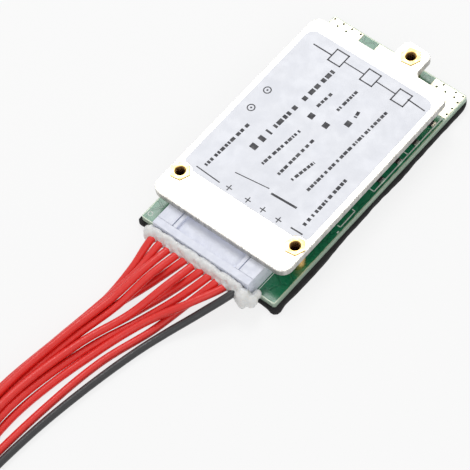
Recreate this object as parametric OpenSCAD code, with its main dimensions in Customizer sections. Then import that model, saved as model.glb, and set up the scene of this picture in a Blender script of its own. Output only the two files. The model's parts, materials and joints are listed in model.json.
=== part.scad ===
// Battery management board: a ten-cell protection board under a raised aluminium
// heatsink plate, with a plugged balance harness of eleven wires.
// Origin: centre of the insulating pad's underside. +X across the board, +Y from the
// connector edge to the output pads, +Z up. Millimetres.

/* [Board] */
// Width of the circuit board
board_w = 42; // [40:0.5:48]
// Length of the circuit board
board_l = 75; // [74:0.5:84]
// Thickness of the circuit board
board_t = 1.6; // [1:0.1:2.4]
// Corner radius of the circuit board
board_corner_r = 0.6; // [0.2:0.1:1.5]

/* [Insulating pad] */
// Thickness of the foam pad under the board
pad_t = 1.5; // [1.3:0.1:3]
// Overhang of the foam pad past the board
pad_margin = 0.6; // [0:0.1:2]
// Corner radius of the foam pad
pad_corner_r = 1.2; // [0.5:0.1:3]

/* [Heatsink plate] */
// Thickness of the plate
plate_t = 2; // [1.7:0.1:4]
// Free height between board and plate
plate_gap = 5.4; // [5:0.1:8]
// Distance from the board's connector edge to the plate
plate_front_inset = 4.5; // [3.5:0.1:6]
// Distance from the plate to the board's far edge
plate_back_inset = 6.5; // [5.5:0.1:7]
// Distance from the board's long edges to the plate
plate_side_inset = 0; // [-0.5:0.1:0.8]
// Corner radius of the plate
plate_corner_r = 3; // [1:0.1:4]
// Rounding of the plate's stamped upper edge
plate_edge_r = 0.4; // [0.1:0.1:0.8]
// Width of the mounting tab
tab_w = 8.3; // [7.5:0.1:11]
// Length of the mounting tab past the plate
tab_l = 7.4; // [6.8:0.1:9]
// Sideways place of the mounting tab
tab_x = 5.9; // [0:0.1:8]
// Corner radius of the mounting tab
tab_corner_r = 2; // [0.5:0.1:3]
// Fillet where the tab leaves the plate
tab_root_r = 1.5; // [0.5:0.1:3]

/* [Standoffs] */
// Bore of the tapped hole, the minor diameter of M3
thread_bore_d = 2.5; // [2.4:0.05:2.6]
// Hexagon across flats
hex_af = 4.7; // [4.4:0.1:5.2]
// Height of the hexagon head
hex_h = 1.4; // [0.8:0.1:1.6]
// How far the head stands proud of the plate
hex_proud = 0.3; // [0.1:0.05:0.5]
// Diameter of the round barrel
barrel_d = 4.2; // [3.6:0.1:4.4]
// Diameter of the foot that is soldered into the board
foot_d = 3; // [2:0.1:3.4]
// Distance of the two corner standoffs from the plate's long edges
standoff_side = 3; // [2.9:0.1:5]
// Distance of the two corner standoffs from the plate's front edge
standoff_front = 7.9; // [6:0.1:9]
// Distance of the tab standoff past the plate
standoff_tab = 3.7; // [3.4:0.1:4]

/* [Label] */
// Thickness of the label
label_t = 0.12; // [0.08:0.02:0.3]
// Margin between the label and the plate's long edges
label_side = 1.6; // [0.5:0.1:4]
// Margin between the label and the plate's front edge
label_front = 9.7; // [8:0.1:16]
// Margin between the label and the plate's far edge
label_back = 3.9; // [1:0.1:8]
// Corner radius of the label
label_corner_r = 2.5; // [0.5:0.1:4]

/* [Power transistors] */
// Number of transistors in a row
mosfet_cols = 3; // [2:1:3]
// Body width of a power transistor
mosfet_w = 10; // [9:0.1:10.4]
// Body length of a power transistor
mosfet_l = 8.7; // [8:0.1:9]
// Height of a power transistor
mosfet_h = 4.4; // [3.5:0.1:4.6]
// Distance from the plate's far edge to the drain tabs
mosfet_inset = 4.2; // [3.5:0.1:5]
// Thickness of the drain tab
drain_tab_t = 1.3; // [1:0.1:1.5]

/* [Connector] */
// Spacing of the contacts
contact_pitch = 2.5; // [2.3:0.05:2.54]
// Material past the outermost contact
connector_end = 2.45; // [2:0.05:3]
// Depth of the header
header_depth = 7.8; // [7:0.1:9]
// Wall of the header
header_wall = 0.9; // [0.7:0.05:1.1]
// Distance of the header's mouth from the board's edge
header_setback = 0.2; // [0:0.1:1]
// Depth of the plug's flange
plug_flange = 2; // [1.5:0.1:3]
// Side of the square header pins
pin_side = 0.64; // [0.5:0.02:0.7]

/* [Harness] */
// Outside diameter of a wire
wire_d = 2; // [1.6:0.05:2]
// Height of the bundle's stack in the hank
hank_h = 6.4; // [6.4:0.1:7.5]
// Thickness of the tie's strap
tie_t = 0.7; // [0.5:0.1:0.9]
// Width of the tie's strap
tie_w = 2.5; // [2:0.1:4]

/* [Fits] */
// Clearance around each part that sits in a hole or pocket
fit = 0.05; // [0.02:0.01:0.08]

/* [Hidden] */
$fn = 48;
CONTACTS = 11;
EDGE_RESISTORS = 4;
EPS = 0.01;
// How far a cut reaches past the surface it opens
OVER = 1;

// Levels, from the surface that the board lies on
board_z = pad_t;
board_top = board_z + board_t;
plate_z = board_top + plate_gap;
plate_top = plate_z + plate_t;

// Plan of the board and the plate
board_front = -board_l / 2;
board_back = board_l / 2;
plate_w = board_w - 2 * plate_side_inset;
plate_front = board_front + plate_front_inset;
plate_back = board_back - plate_back_inset;
plate_l = plate_back - plate_front;
plate_mid_y = (plate_front + plate_back) / 2;

// Standoffs
standoff_spots = [
    [-(plate_w / 2 - standoff_side), plate_front + standoff_front],
    [plate_w / 2 - standoff_side, plate_front + standoff_front],
    [tab_x, plate_back + standoff_tab]
];
head_top = plate_top + hex_proud;
head_z = head_top - hex_h;
hex_r = hex_af / 2 / cos(30);
hex_turn = 8;
thread_chamfer = 0.25;
thread_floor = board_top + 0.9;

// Output pads: [left edge, right edge] across the board, all reaching to its far edge
pad_copper_t = 0.12;
pad_edge = 0.3;
pad_reach = 8.3;
pad_clear = 0.2;
label_clear = 0.2;
left_pad_w = 9.4;
middle_pad_gap = 5;
right_pad_w = 9.2;
left_pad_x = -board_w / 2 + pad_edge;
right_pad_x = board_w / 2 - pad_edge;
pad_spans = [
    [left_pad_x, left_pad_x + left_pad_w],
    [left_pad_x + left_pad_w + middle_pad_gap, tab_x - hex_r],
    [right_pad_x - right_pad_w, right_pad_x]
];

// Plated holes, in two rows across each outer pad and one row down the right edge
via_d = 0.6;
via_edge = 0.75;
via_pitch = 2.75;
via_row = 1.4;
via_side_pitch = 2.2;
via_y = board_back - via_edge;
left_via_x = -board_w / 2 + via_edge;
right_via_x = board_w / 2 - via_edge;
left_vias = [for (i = [0:3]) [left_via_x + via_pitch * i, via_y],
             for (i = [0:1]) [left_via_x + via_pitch * (i + 0.7), via_y - via_row]];
right_vias = [for (i = [0:1]) [right_via_x - via_side_pitch - via_pitch * 1.4 * i, via_y],
              for (i = [0:2]) [right_via_x - via_pitch * (i + 0.6), via_y - via_row],
              for (i = [0:4]) [right_via_x, via_y - via_side_pitch * i]];
board_vias = concat(left_vias, right_vias);

// Connector
header_w = (CONTACTS - 1) * contact_pitch + 2 * connector_end;
header_h = plate_gap - 0.1;
mouth_y = board_front + header_setback;
header_back = mouth_y + header_depth;
rear_wall = 1.4;
cavity_depth = header_depth - rear_wall;
cavity_w = header_w - 2 * header_wall;
cavity_h = header_h - 2 * header_wall;
window_side = 3.5;
window_w = cavity_w - 2 * window_side;
window_end = 1.6;
window_depth = cavity_depth - window_end;
rib_w = 1;
rib_inset = 0.8;
pin_z = board_top + header_h / 2;
pin_tip_in = 1.6;
pin_tip_y = mouth_y + pin_tip_in;
pin_row_out = 0.9;
pin_row_y = header_back + pin_row_out;
pin_tail = 0.6;
pin_tail_z = board_z - pin_tail;
tail_hole_d = 1.1;
tail_slot = 2;
tail_room = 0.2;
plug_back = mouth_y - fit - plug_flange;
socket_w = 1.7;
socket_h = 1.9;
socket_l = 4.6;
socket_gap = 0.6;
nose_gap = 0.4;
crimp_squeeze = 0.35;
pin_room = 0.2;
wire_bore_d = wire_d + 4 * fit;
glue_l = 2.65;
glue_r = header_h / 2 + 0.1;
glue_half = header_w / 2 - 1;
contact_x = [for (i = [0:CONTACTS - 1]) (i - (CONTACTS - 1) / 2) * contact_pitch];

// Power transistors, their drain tabs to the far edge
drain_tab_out = 1.2;
drain_tab_in = 1;
drain_tab_side = 0.4;
mosfet_nose = 0.5;
mosfet_bevel = 0.3;
lead_out = 3.6;
lead_w = 0.9;
lead_t = 0.5;
thermal_pad_margin = 0.4;

// Cell balancing: a chip resistor and the small transistor that switches it for each cell
resistor_size = [3.2, 1.6, 0.6];
switch_body = [2.9, 1.3, 1];
switch_lead = 0.6;
switch_l = switch_body.y + 2 * switch_lead;

// Current sensing and logic
shunt_size = [6.4, 3.2, 0.8];
control_size = [8, 4.4, 1.1];
driver_size = [4.9, 3.9, 1.5];
clamp_size = [4.3, 2.6, 2.2];
clamp_lead = 0.9;
clamp_pitch = 5;
chip_stand = 0.1;
chip_lead = 1;

// Edge column: resistors whose outer ends show along the right edge, switches between them
edge_column_inset = 1;
edge_column_l = 25.7;
edge_resistor_x = board_w / 2 - edge_column_inset - resistor_size.x / 2;
edge_resistor_y0 = plate_back - edge_column_l;
edge_resistor_pitch = 6.8;
edge_switch_out = 0.2;
edge_switch_x = edge_resistor_x - resistor_size.x / 2 - edge_switch_out;

// Rows across the board: two of transistors, resistors, switches, shunts and logic. They
// share the free length between the header's pins and the transistors' drain tabs.
mosfet_row_l = drain_tab_out + mosfet_l + lead_out;
logic_l = clamp_pitch + clamp_size.y;
row_l = [mosfet_row_l, mosfet_row_l, resistor_size.x, switch_l, shunt_size.y, logic_l];
rows_back = plate_back - mosfet_inset;
row_gap = (rows_back - pin_row_y - pin_side / 2 - total(row_l)) / len(row_l);
mosfet_row_y = [for (i = [0:1]) row_y(i) + (lead_out - drain_tab_out) / 2];
resistor_row_y = row_y(2);
switch_row_y = row_y(3);
shunt_row_y = row_y(4);
logic_row_y = row_y(5);

// Columns of those rows, from the left edge
column_inset = 0.8;
mosfet_x0 = -board_w / 2 + column_inset + mosfet_w / 2;
mosfet_pitch = (edge_switch_x - switch_l / 2 - column_inset - mosfet_w / 2 - mosfet_x0)
    / (mosfet_cols - 1);
row_resistor_inset = 4.5;
row_resistor_x0 = -board_w / 2 + row_resistor_inset;
row_resistor_pitch = 5.6;
shunt_x0 = -board_w / 4;
shunt_pitch = 9;
logic_gap = 2.4;
control_x = -board_w / 4 + control_size.x / 2;
driver_x = control_x + (control_size.x + driver_size.x) / 2 + logic_gap;
clamp_x = driver_x + (driver_size.x + clamp_size.x) / 2 + clamp_lead + logic_gap;

// Route points of the harness, [x, y, z], one list per wire from the plug to the hank
wire_routes = [
    [[-12.5, -39.4, 5.75], [-13.2, -42.2, 5.75], [-12.9, -50, 3.2], [-13.25, -60, 1.1],
     [-14.95, -74, 1.02], [-17.15, -96, 1.02], [-14.6, -118, 1.02]],
    [[-10, -39.4, 5.75], [-10.7, -42.2, 5.75], [-10.8, -50, 4.25], [-12.2, -60, 3.05],
     [-13.9, -74, 2.85], [-16.1, -96, 3.05], [-13.55, -118, 2.8]],
    [[-7.5, -39.4, 5.75], [-8.1, -42.2, 5.75], [-9.25, -50, 5.6], [-10.6, -60, 4.4],
     [-12.85, -74, 4.6], [-14.8, -96, 4.6], [-12.5, -118, 4.6]],
    [[-5, -39.4, 5.75], [-5.5, -42.2, 5.75], [-7.15, -50, 5.2], [-9, -60, 2.9],
     [-11.7, -74, 2.8], [-13.6, -96, 2.95], [-11.45, -118, 2.8]],
    [[-2.5, -39.4, 5.75], [-3, -42.2, 5.75], [-6.9, -50, 2.1], [-10.3, -60, 1.05],
     [-12.75, -74, 1.02], [-14.75, -96, 1.02], [-12.5, -118, 1.02]],
    [[0, -39.4, 5.75], [-0.4, -42.2, 5.75], [-2.05, -50, 5.3], [-4.9, -60, 3],
     [-9.35, -74, 3.15], [-12.15, -96, 4.65], [-10.4, -118, 4.6]],
    [[2.5, -39.4, 5.75], [2.1, -42.2, 5.75], [-2, -50, 1.9], [-5.8, -60, 1.02],
     [-10.5, -74, 1.02], [-12.2, -96, 1.02], [-10.4, -118, 1.02]],
    [[5, -39.4, 5.75], [4.6, -42.2, 5.75], [1.6, -50, 3.3], [-2.95, -60, 1.05],
     [-8.05, -74, 1.02], [-10.95, -96, 2.95], [-9.35, -118, 2.8]],
    [[7.5, -39.4, 5.75], [7.1, -42.2, 5.75], [4.15, -50, 2.85], [1.35, -60, 1.05],
     [-2.8, -74, 1.02], [-5.4, -96, 1.02], [-6.2, -118, 1.02]],
    [[10, -39.4, 5.75], [9.5, -42.2, 5.75], [5.6, -50, 5.25], [-0.85, -60, 2.65],
     [-5.8, -74, 1.02], [-9.5, -96, 1.02], [-8.3, -118, 1.02]],
    [[12.5, -39.4, 5.75], [12.2, -42.2, 5.75], [8.5, -50, 3.3], [4, -60, 1.05],
     [0.55, -74, 1.02], [-2.85, -96, 1.02], [-4.1, -118, 1.02]]
];
wire_sides = 8;

// Hank: the bundle runs out, turns once and comes back beside itself
hank_face_y = -118;
hank_run = 36;
hank_turn_x = -20.8;
hank_turn_r = 17.8;
hank_corner_r = 6;
hank_waist_y = hank_face_y - hank_run / 2;
// The outer wires end before the waist on the way back, so the tie is set in there
tie_inset = 6.2;
tie_head = [4.6, 3.6, 2.4];

// ---------------------------------------------------------------- shared shapes

// Sum of a list, and the middle of a row across the board, counted from the far end
function total(v) = len(v) == 0 ? 0 : v * [for (x = v) 1];
function row_y(i) = rows_back - total([for (k = [0:1:i - 1]) row_l[k]]) - i * row_gap - row_l[i] / 2;

// A rectangle with round corners, centred
module rounded_rect(w, l, r) {
    square([w - 2 * r, l], center = true);
    square([w, l - 2 * r], center = true);
    for (sx = [-1, 1], sy = [-1, 1])
        translate([sx * (w / 2 - r), sy * (l / 2 - r)]) circle(r);
}

// A block from its middle in X and Y and its underside in Z
module block(size) {
    translate([-size.x / 2, -size.y / 2, 0]) cube(size);
}

// A gull-wing lead: out of a body's side at height z_out, down, and flat on the board
module gull_lead(width, z_out, reach, thick) {
    foot = reach * 0.45;
    rotate([90, 0, 90]) translate([0, 0, -width / 2])
        linear_extrude(width) polygon([
            [-EPS, z_out], [reach - foot, z_out], [reach - foot + thick, thick],
            [reach, thick], [reach, 0], [reach - foot, 0],
            [reach - foot - thick, z_out - thick], [-EPS, z_out - thick]
        ]);
}

// ---------------------------------------------------------------- pad and board

module insulating_pad() {
    color("#232323")
        difference() {
            linear_extrude(pad_t)
                rounded_rect(board_w + 2 * pad_margin, board_l + 2 * pad_margin, pad_corner_r);
            // the foam gives way round the trimmed connector tails
            translate([0, pin_row_y, pin_tail_z - tail_room])
                block([(CONTACTS - 1) * contact_pitch + tail_slot, tail_slot, pad_t]);
        }
}

module circuit_board() {
    color("#0f7a4d")
        difference() {
            translate([0, 0, board_z]) linear_extrude(board_t)
                rounded_rect(board_w, board_l, board_corner_r);
            for (p = standoff_spots)
                translate([p.x, p.y, board_z - OVER])
                    cylinder(d = foot_d + 2 * fit, h = board_t + 2 * OVER);
            for (x = contact_x)
                translate([x, pin_row_y, board_z - OVER])
                    cylinder(d = tail_hole_d, h = board_t + 2 * OVER);
            for (p = board_vias)
                translate([p.x, p.y, board_z - OVER]) cylinder(d = via_d, h = board_t + 2 * OVER);
        }
}

module solder_pads() {
    color("#f2ecd2")
        difference() {
            for (span = pad_spans)
                translate([span[0], board_back - pad_edge - pad_reach, board_top])
                    cube([span[1] - span[0], pad_reach, pad_copper_t]);
            for (p = board_vias)
                translate([p.x, p.y, board_top - OVER]) cylinder(d = via_d, h = 2 * OVER);
            for (p = standoff_spots)
                translate([p.x, p.y, board_top - OVER]) cylinder(d = barrel_d + 2 * pad_clear, h = 2 * OVER);
        }
}

// ---------------------------------------------------------------- plate and label

// Outline of the plate and its tab, set back all round by the given amount
module plate_outline(inset = 0) {
    w = plate_w - 2 * inset;
    l = plate_l - 2 * inset;
    translate([0, plate_mid_y]) rounded_rect(w, l, plate_corner_r - inset);
    half = tab_w / 2 - inset;
    tip_y = plate_back + tab_l - inset;
    root_y = plate_back - inset;
    root_r = tab_root_r + inset;
    corner_r = tab_corner_r - inset;
    translate([tab_x, 0]) {
        translate([-half, root_y - OVER]) square([2 * half, tip_y - corner_r - root_y + OVER]);
        translate([-half + corner_r, root_y]) square([2 * (half - corner_r), tip_y - root_y]);
        for (s = [-1, 1]) {
            translate([s * (half - corner_r), tip_y - corner_r]) circle(corner_r);
            translate([s * half, root_y]) difference() {
                translate([s > 0 ? -EPS : -root_r, -EPS]) square([root_r + EPS, root_r + EPS]);
                translate([s * root_r, root_r]) circle(root_r);
            }
        }
    }
}

module heatsink_plate() {
    edge_steps = 2;
    edge_share = 0.7;
    color("#f4f0e6")
        difference() {
            union() {
                translate([0, 0, plate_z]) linear_extrude(plate_t - plate_edge_r) plate_outline();
                for (i = [1:edge_steps]) {
                    turn = 90 * i / edge_steps;
                    step_in = plate_edge_r * (1 - cos(turn)) * edge_share;
                    step_up = plate_edge_r * sin(turn);
                    translate([0, 0, plate_z + plate_t / 2])
                        linear_extrude(plate_t / 2 - plate_edge_r + step_up)
                            plate_outline(step_in);
                }
            }
            for (p = standoff_spots) translate([p.x, p.y, 0]) {
                translate([0, 0, plate_z - OVER])
                    cylinder(d = barrel_d + 2 * fit, h = plate_t + 2 * OVER);
                translate([0, 0, head_z - fit]) rotate(hex_turn)
                    cylinder(r = hex_r + fit, h = hex_h + OVER, $fn = 6);
            }
        }
}

module plate_label() {
    w = plate_w - 2 * label_side;
    l = plate_l - label_front - label_back;
    color("#eef0f8")
        difference() {
            translate([0, plate_front + label_front + l / 2, plate_top])
                linear_extrude(label_t) rounded_rect(w, l, label_corner_r);
            for (p = standoff_spots)
                translate([p.x, p.y, plate_top - OVER]) cylinder(r = hex_r + label_clear, h = 2 * OVER);
        }
}

module standoffs() {
    color("#d9b46a")
        for (p = standoff_spots) translate([p.x, p.y, 0])
            difference() {
                union() {
                    translate([0, 0, head_z]) rotate(hex_turn) cylinder(r = hex_r, h = hex_h, $fn = 6);
                    translate([0, 0, board_top]) cylinder(d = barrel_d, h = head_z - board_top);
                    translate([0, 0, board_z]) cylinder(d = foot_d, h = board_t + EPS);
                }
                translate([0, 0, thread_floor])
                    cylinder(d = thread_bore_d, h = head_top - thread_floor + OVER);
                translate([0, 0, head_top - thread_chamfer])
                    cylinder(d1 = thread_bore_d, d2 = thread_bore_d + 4 * thread_chamfer,
                             h = 2 * thread_chamfer);
            }
}

// ---------------------------------------------------------------- parts on the board

// Middle of one power transistor's body
function mosfet_spot(i) = [
    mosfet_x0 + (i % mosfet_cols) * mosfet_pitch,
    mosfet_row_y[floor(i / mosfet_cols)]
];

module mosfet(i) {
    p = mosfet_spot(i);
    back = mosfet_l / 2;
    translate([p.x, p.y, board_top]) color("#2b2b2d") {
        // moulded body with a sloped nose over the leads
        rotate([90, 0, 90]) translate([0, 0, -mosfet_w / 2]) linear_extrude(mosfet_w)
            polygon([
                [-back, chip_stand], [back, chip_stand], [back, mosfet_h - mosfet_nose],
                [back - mosfet_bevel, mosfet_h], [-back + mosfet_nose, mosfet_h],
                [-back, mosfet_h / 2 + mosfet_bevel]
            ]);
        // drain tab under the body and out at the far side
        translate([0, (drain_tab_out + drain_tab_in) / 2, 0])
            block([mosfet_w - 2 * drain_tab_side, mosfet_l + drain_tab_out - drain_tab_in,
                   drain_tab_t]);
        for (s = [-1, 1])
            translate([s * mosfet_w / 4, -mosfet_l / 2, 0]) rotate(180)
                gull_lead(lead_w, mosfet_h / 2, lead_out, lead_t);
        // the cropped middle lead
        translate([0, -mosfet_l / 2 - lead_w / 2 + EPS, mosfet_h / 2 - lead_t])
            block([lead_w, lead_w, lead_t]);
    }
}

module thermal_pad() {
    first = mosfet_spot(0);
    last = mosfet_spot(2 * mosfet_cols - 1);
    w = last.x - first.x + mosfet_w + 2 * thermal_pad_margin;
    l = first.y - last.y + mosfet_l + 2 * thermal_pad_margin;
    color("#8fa3b8")
        translate([(first.x + last.x) / 2, (first.y + last.y) / 2, board_top + mosfet_h])
            block([w, l, plate_gap - mosfet_h]);
}

// A chip resistor with wrapped end caps, its length along X
module chip_resistor(size) {
    cap = 0.5;
    cap_skin = 0.03;
    translate([0, 0, cap_skin]) block([size.x - 2 * EPS, size.y - 2 * cap_skin, size.z - 2 * cap_skin]);
    for (s = [-1, 1]) translate([s * (size.x - cap) / 2, 0, 0]) block([cap, size.y, size.z]);
}

// Place and turn of one balance resistor: the right column first, then the row
function resistor_spot(i) = i < EDGE_RESISTORS
    ? [edge_resistor_x, edge_resistor_y0 + i * edge_resistor_pitch, 0]
    : [row_resistor_x0 + (i - EDGE_RESISTORS) * row_resistor_pitch, resistor_row_y, 90];

module balance_resistor(i) {
    p = resistor_spot(i);
    color("#3a2c26") translate([p.x, p.y, board_top]) rotate(p.z) chip_resistor(resistor_size);
}

// The small transistor that switches a balance resistor, beside it
function switch_spot(i) = let (r = resistor_spot(i)) i < EDGE_RESISTORS
    ? [edge_switch_x, r.y - edge_resistor_pitch / 2, 90]
    : [r.x, switch_row_y, 0];

module balance_switch(i) {
    p = switch_spot(i);
    lead = [0.4, 0.5, 0.15];
    color("#2a2a2c") translate([p.x, p.y, board_top]) rotate(p.z) {
        translate([0, 0, chip_stand])
            block([switch_body.x, switch_body.y, switch_body.z - chip_stand]);
        for (s = [-1, 1]) translate([s * switch_body.x / 3, -switch_body.y / 2, 0]) rotate(180)
            gull_lead(lead.x, lead.y, switch_lead, lead.z);
        translate([0, switch_body.y / 2, 0]) gull_lead(lead.x, lead.y, switch_lead, lead.z);
    }
}

module shunt(i) {
    color("#35383c")
        translate([shunt_x0 + i * shunt_pitch, shunt_row_y, board_top]) chip_resistor(shunt_size);
}

// A chip in a two-sided gull-wing package, its pins along X
module gull_chip(size, pins, pitch) {
    lead_h = size.z / 2;
    translate([0, 0, chip_stand]) block([size.x, size.y, size.z - chip_stand]);
    for (i = [0:pins - 1], s = [0, 1])
        rotate(180 * s) translate([(i - (pins - 1) / 2) * pitch, size.y / 2, 0])
            gull_lead(pitch * 0.4, lead_h, chip_lead, 0.15);
}

module control_chip() {
    color("#252528") translate([control_x, logic_row_y, board_top]) gull_chip(control_size, 12, 0.65);
}

module driver_chip() {
    color("#252528") translate([driver_x, logic_row_y, board_top]) gull_chip(driver_size, 4, 1.27);
}

module clamp_diode(i) {
    color("#2c2c2e") translate([clamp_x, logic_row_y + clamp_pitch * (i - 0.5), board_top]) {
        translate([0, 0, chip_stand])
            block([clamp_size.x, clamp_size.y, clamp_size.z - chip_stand]);
        for (s = [0, 1]) rotate(180 * s) translate([clamp_size.x / 2, 0, 0]) rotate(-90)
            gull_lead(clamp_size.y / 2, clamp_size.z / 2, clamp_lead, 0.2);
    }
}

// ---------------------------------------------------------------- connector

module connector_header() {
    color("#f1f2f6")
        difference() {
            translate([0, header_back - header_depth / 2, board_top])
                block([header_w, header_depth, header_h]);
            // cavity for the plug
            translate([0, mouth_y + (cavity_depth - OVER) / 2, board_top + header_wall])
                block([cavity_w, cavity_depth + OVER, cavity_h]);
            // window in the upper wall
            translate([0, mouth_y + (window_depth - OVER) / 2, board_top + header_h / 2])
                block([window_w, window_depth + OVER, header_h]);
            for (x = contact_x)
                translate([x, header_back - rear_wall / 2, pin_z - pin_side / 2 - fit])
                    block([pin_side + 2 * fit, rear_wall + OVER, pin_side + 2 * fit]);
        }
}

module header_pins() {
    color("#cfd2d6")
        for (x = contact_x) translate([x, 0, 0]) {
            translate([-pin_side / 2, pin_tip_y, pin_z - pin_side / 2])
                cube([pin_side, pin_row_y - pin_tip_y, pin_side]);
            translate([0, pin_row_y, pin_tail_z])
                block([pin_side, pin_side, pin_z + pin_side / 2 - pin_tail_z]);
        }
}

module connector_plug() {
    nose_depth = cavity_depth - nose_gap;
    nose_h = cavity_h - 2 * fit;
    color("#f4f5fa")
        difference() {
            union() {
                translate([0, mouth_y + nose_depth / 2 - EPS, board_top + header_wall + fit])
                    block([cavity_w - 2 * fit, nose_depth + 2 * EPS, nose_h]);
                translate([0, mouth_y - fit - plug_flange / 2, board_top])
                    block([header_w, plug_flange, header_h]);
                // ribs that fill the corners of the header's window
                for (s = [-1, 1])
                    translate([s * (window_w / 2 - rib_inset), mouth_y + window_depth / 2 - fit,
                               board_top + header_h - header_wall - fit - OVER])
                        block([rib_w, window_depth - 2 * fit, header_wall + OVER]);
                translate([0, mouth_y - fit + EPS, board_top + header_wall + fit])
                    block([cavity_w - 2 * fit, 4 * fit, nose_h]);
            }
            // a pocket for each contact, and the hole for its wire
            for (x = contact_x) {
                translate([x, mouth_y + nose_depth / 2, pin_z - socket_h / 2 - fit])
                    block([socket_w + 2 * fit, nose_depth + 2 * OVER, socket_h + 2 * fit]);
                translate([x, plug_back - OVER, pin_z]) rotate([-90, 0, 0])
                    cylinder(d = wire_bore_d, h = plug_flange + OVER);
            }
        }
}

module crimp_contacts() {
    front = mouth_y + cavity_depth - socket_gap;
    color("#c9b37a")
        for (x = contact_x)
            difference() {
                union() {
                    translate([x, front - socket_l / 2, pin_z - socket_h / 2])
                        block([socket_w, socket_l, socket_h]);
                    translate([x, front, pin_z]) rotate([90, 0, 0])
                        cylinder(d = wire_d - crimp_squeeze, h = front - plug_back - fit);
                }
                translate([x, front, pin_z - pin_side / 2 - fit])
                    block([pin_side + 2 * fit, 2 * (front - pin_tip_y + pin_room),
                           pin_side + 2 * fit]);
            }
}

// Turn about Z of a wire's first stretch, behind the plug
function wire_lean(r) = atan2(r[1].x - r[0].x, r[0].y - r[1].y);

module glue_bead() {
    color("#f3f0ea")
        difference() {
            intersection() {
                union() {
                    translate([-glue_half, plug_back, pin_z]) rotate([0, 90, 0])
                        cylinder(r = glue_r, h = 2 * glue_half);
                    for (s = [-1, 1]) translate([s * glue_half, plug_back, pin_z]) sphere(glue_r);
                }
                translate([0, plug_back - fit - glue_l / 2, 0])
                    block([header_w + 2 * glue_r, glue_l, plate_top]);
            }
            for (i = [0:CONTACTS - 1])
                translate([contact_x[i], plug_back, pin_z]) rotate([90, 0, wire_lean(wire_routes[i])])
                    translate([0, 0, -OVER]) cylinder(d = wire_bore_d, h = glue_l + 3 * OVER);
        }
}

// ---------------------------------------------------------------- harness

function unit(v) = v / norm(v);
function route_dir(r, i) = i == 0 || i == len(r) - 1 ? [0, -1, 0] : unit(r[i + 1] - r[i - 1]);
function ring(r, i) = let (t = route_dir(r, i), s = unit(cross(t, [0, 0, 1])), u = cross(s, t))
    [for (k = [0:wire_sides - 1]) let (a = 360 * k / wire_sides)
        r[i] + wire_d / 2 * (cos(a) * s + sin(a) * u)];

// A wire swept along its route as one closed tube
module wire_tube(r) {
    n = len(r);
    m = wire_sides;
    points = [for (i = [0:n - 1]) each ring(r, i)];
    start = [[for (k = [0:m - 1]) k]];
    finish = [[for (k = [m - 1:-1:0]) (n - 1) * m + k]];
    sides = [for (i = [0:n - 2], k = [0:m - 1]) let (j = (k + 1) % m)
        [i * m + k, (i + 1) * m + k, (i + 1) * m + j, i * m + j]];
    polyhedron(points, concat(start, sides, finish));
}

module red_wire(i) {
    color("#e8382c") wire_tube(wire_routes[i]);
}

module black_wire() {
    color("#2b2b2b") wire_tube(wire_routes[CONTACTS - 1]);
}

module hank_outline() {
    left = hank_turn_x - hank_turn_r;
    translate([left, hank_face_y - hank_run])
        square([2 * hank_turn_r, hank_run - hank_corner_r]);
    translate([left + hank_corner_r, hank_face_y - hank_corner_r - EPS])
        square([2 * hank_turn_r - hank_corner_r, hank_corner_r + EPS]);
    translate([left + hank_corner_r, hank_face_y - hank_corner_r]) circle(hank_corner_r);
    translate([hank_turn_x, hank_face_y - hank_run]) circle(hank_turn_r);
}

module harness_hank() {
    notch_l = tie_w + 2 * fit;
    color("#d8342a")
        difference() {
            linear_extrude(hank_h) hank_outline();
            translate([hank_turn_x, hank_waist_y, -OVER])
                block([2 * (hank_turn_r + OVER), notch_l, tie_t + fit + OVER]);
            translate([hank_turn_x - hank_turn_r - OVER, hank_waist_y - notch_l / 2, -OVER])
                cube([tie_inset + OVER, notch_l, hank_h + 2 * OVER]);
        }
}

module harness_tie() {
    left = -hank_turn_r + tie_inset - fit;
    right = hank_turn_r + fit;
    inner_top = hank_h + fit;
    color("#f2f2f0")
        translate([hank_turn_x, hank_waist_y - tie_w / 2, 0]) {
            difference() {
                translate([left - tie_t, 0, 0]) cube([right - left + 2 * tie_t, tie_w, inner_top + tie_t]);
                translate([left, -OVER, tie_t])
                    cube([right - left, tie_w + 2 * OVER, inner_top - tie_t]);
            }
            translate([hank_turn_r / 2, tie_w / 2, inner_top + EPS]) block(tie_head);
        }
}

insulating_pad();
circuit_board();
solder_pads();
heatsink_plate();
plate_label();
standoffs();
thermal_pad();
mosfet(0);  // mosfet_1
mosfet(1);  // mosfet_2
mosfet(2);  // mosfet_3
mosfet(3);  // mosfet_4
mosfet(4);  // mosfet_5
mosfet(5);  // mosfet_6
connector_header();
header_pins();
connector_plug();
crimp_contacts();
glue_bead();
balance_resistor(0);  // balance_resistor_1
balance_resistor(1);  // balance_resistor_2
balance_resistor(2);  // balance_resistor_3
balance_resistor(3);  // balance_resistor_4
balance_resistor(4);  // balance_resistor_5
balance_resistor(5);  // balance_resistor_6
balance_resistor(6);  // balance_resistor_7
balance_resistor(7);  // balance_resistor_8
balance_resistor(8);  // balance_resistor_9
balance_resistor(9);  // balance_resistor_10
balance_switch(0);  // balance_switch_1
balance_switch(1);  // balance_switch_2
balance_switch(2);  // balance_switch_3
balance_switch(3);  // balance_switch_4
balance_switch(4);  // balance_switch_5
balance_switch(5);  // balance_switch_6
balance_switch(6);  // balance_switch_7
balance_switch(7);  // balance_switch_8
balance_switch(8);  // balance_switch_9
balance_switch(9);  // balance_switch_10
shunt(0);  // shunt_1
shunt(1);  // shunt_2
control_chip();
driver_chip();
clamp_diode(0);  // clamp_diode_1
clamp_diode(1);  // clamp_diode_2
red_wire(0);  // red_wire_1
red_wire(1);  // red_wire_2
red_wire(2);  // red_wire_3
red_wire(3);  // red_wire_4
red_wire(4);  // red_wire_5
red_wire(5);  // red_wire_6
red_wire(6);  // red_wire_7
red_wire(7);  // red_wire_8
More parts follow.
